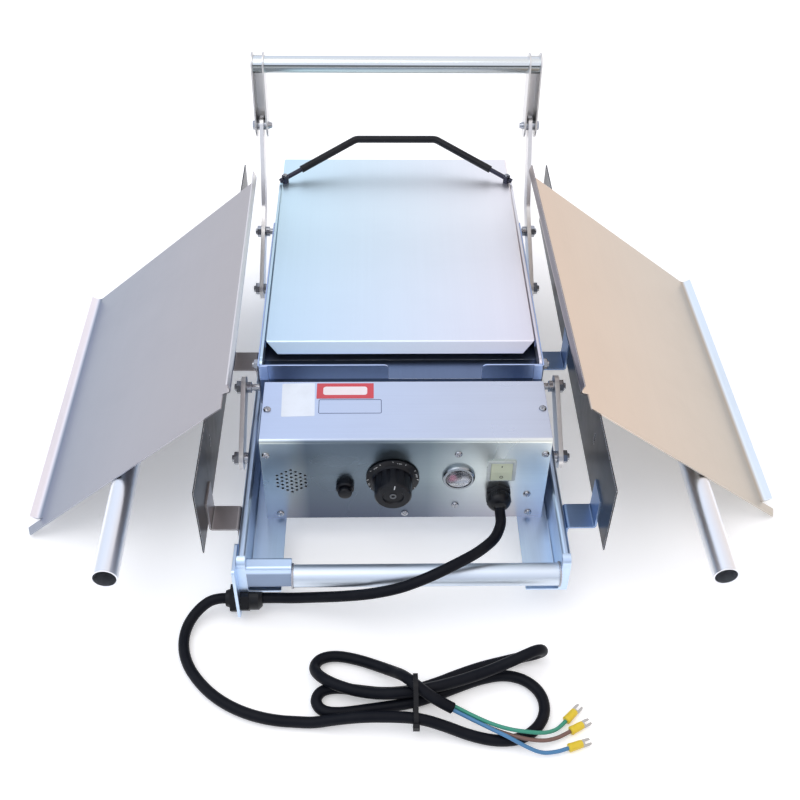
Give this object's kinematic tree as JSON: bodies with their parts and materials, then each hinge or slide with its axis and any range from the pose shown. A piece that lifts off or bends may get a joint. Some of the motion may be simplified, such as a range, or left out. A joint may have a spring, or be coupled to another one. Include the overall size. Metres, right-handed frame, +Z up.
{
  "type": "two level countertop burger grill",
  "caption": "Countertop burger grill: heated tray on a lever linkage over a rail frame, hinged lid, control box, loading paddles and a loose supply cord.",
  "frame": {"origin": "on the surface the feet stand on, in the middle of the box around the machine with its two paddles, without the loose cord", "axes": "+X to the right seen from the control box, +Y from the control box towards the lid handle, +Z up"},
  "size_m": [0.8352, 0.7947, 0.3108],
  "materials": {
    "brushed_stainless": "brushed stainless sheet with folded edges",
    "steel_tube": "satin polished stainless tube and rod",
    "bright_fasteners": "bright plated screws, bolts, spacers and nuts",
    "cast_aluminium": "cast and machined aluminium heating plate",
    "heater_sheath": "dark oxidised heater sheath",
    "black_plastic": "moulded black plastic, satin",
    "thermostat_body": "plated steel thermostat case",
    "lamp_lens": "clear ribbed lamp lens over a pale reflector",
    "rocker_frame": "off white plastic",
    "rocker_key": "pale green translucent plastic",
    "black_rubber": "moulded rubber",
    "cord_jacket": "smooth black flexible jacket",
    "grip_sleeve": "black heat shrunk sleeve",
    "tie_nylon": "black nylon",
    "earth_green": "green insulation with a yellow stripe",
    "live_brown": "brown insulation",
    "neutral_blue": "blue insulation",
    "terminal_yellow": "yellow sleeve over a tinned fork"
  },
  "bodies": {
    "frame": {"rail_left": "brushed_stainless", "rail_right": "brushed_stainless", "front_bar": "steel_tube", "bar_bracket": "brushed_stainless", "gland_plate": "brushed_stainless", "rear_strap": "brushed_stainless", "rubber_feet": "black_rubber", "panel_brackets": "brushed_stainless", "side_panel_left": "brushed_stainless", "side_panel_right": "brushed_stainless", "box_body": "brushed_stainless", "box_cover": "brushed_stainless", "box_screws": "bright_fasteners", "buzzer": "black_plastic", "button_collar": "black_plastic", "thermostat": "thermostat_body", "lamp_body": "black_plastic", "lamp_lens": "lamp_lens", "rocker_frame": "rocker_frame", "timer_module": "black_plastic", "box_gland": "black_plastic", "frame_gland": "black_plastic", "frame_gland_nut": "black_plastic", "box_lead": "cord_jacket", "cord_free": "cord_jacket", "cord_hank": "cord_jacket", "hank_tie": "tie_nylon", "wire_earth": "earth_green", "wire_live": "live_brown", "wire_neutral": "neutral_blue", "terminal_earth": "terminal_yellow", "terminal_live": "terminal_yellow", "terminal_neutral": "terminal_yellow", "frame_pivots": "bright_fasteners"},
    "lever": {"lever_left": "brushed_stainless", "lever_right": "brushed_stainless", "yoke_arms": "brushed_stainless", "grip_tube": "steel_tube", "yoke_bolts": "bright_fasteners"},
    "links": {"front_links": "brushed_stainless"},
    "tray": {"tray_side_left": "brushed_stainless", "tray_side_right": "brushed_stainless", "tray_front": "brushed_stainless", "lower_platen": "cast_aluminium", "upper_platen": "cast_aluminium", "heating_element": "heater_sheath", "lid_bolts": "bright_fasteners", "tray_pivots": "bright_fasteners"},
    "lid": {"lid_pan": "brushed_stainless", "lid_arm_left": "brushed_stainless", "lid_arm_right": "brushed_stainless", "lid_handle": "steel_tube", "handle_sleeve": "grip_sleeve"},
    "dial": {"dial_knob": "black_plastic"},
    "button": {"push_button": "black_plastic"},
    "rocker": {"rocker": "rocker_key"},
    "paddle_a": {"paddle_left": "brushed_stainless", "paddle_tube_left": "steel_tube"},
    "paddle_b": {"paddle_right": "brushed_stainless", "paddle_tube_right": "steel_tube"}
  },
  "joints": [
    {"name": "lever_hinge", "type": "hinge", "parent": "frame", "child": "lever", "pos_m": [-0.00498, 0.14926, 0.067], "axis": [-1, 0, 0], "range_deg": [0, 13.9]},
    {"name": "tray_pivot", "type": "hinge", "parent": "lever", "child": "tray", "pos_m": [-0.00498, 0.21976, 0.107], "axis": [-1, 0, 0], "range_deg": [-14.2, 0]},
    {"name": "front_link_hinge", "type": "hinge", "parent": "frame", "child": "links", "pos_m": [-0.00498, -0.14974, 0.067], "axis": [-1, 0, 0], "range_deg": [0, 14.2]},
    {"name": "lid_hinge", "type": "hinge", "parent": "tray", "child": "lid", "pos_m": [-0.00498, -0.08024, 0.142], "axis": [1, 0, 0], "range_deg": [0, 80]},
    {"name": "dial_turn", "type": "hinge", "parent": "frame", "child": "dial", "pos_m": [-0.01543, -0.20874, 0.1003], "axis": [0, 1, 0], "range_deg": [0, 300]},
    {"name": "button_press", "type": "slide", "parent": "frame", "child": "button", "axis": [0, 1, 0], "range_m": [0, 0.0025], "stiffness_N_per_m": 800, "springref_m": -0.001},
    {"name": "rocker_tilt", "type": "hinge", "parent": "frame", "child": "rocker", "pos_m": [0.09655, -0.20974, 0.1106], "axis": [1, 0, 0], "range_deg": [0, 12]},
    {"name": "paddle_a_lift", "type": "slide", "parent": "frame", "child": "paddle_a", "axis": [0, 0, 1], "range_m": [0, 0.2]},
    {"name": "paddle_b_lift", "type": "slide", "parent": "frame", "child": "paddle_b", "axis": [0, 0, 1], "range_m": [0, 0.2]}
  ],
  "couplings": [
    {"joint": "tray_pivot", "follows": "lever_hinge", "ratio": -1},
    {"joint": "front_link_hinge", "follows": "lever_hinge", "ratio": 1}
  ]
}
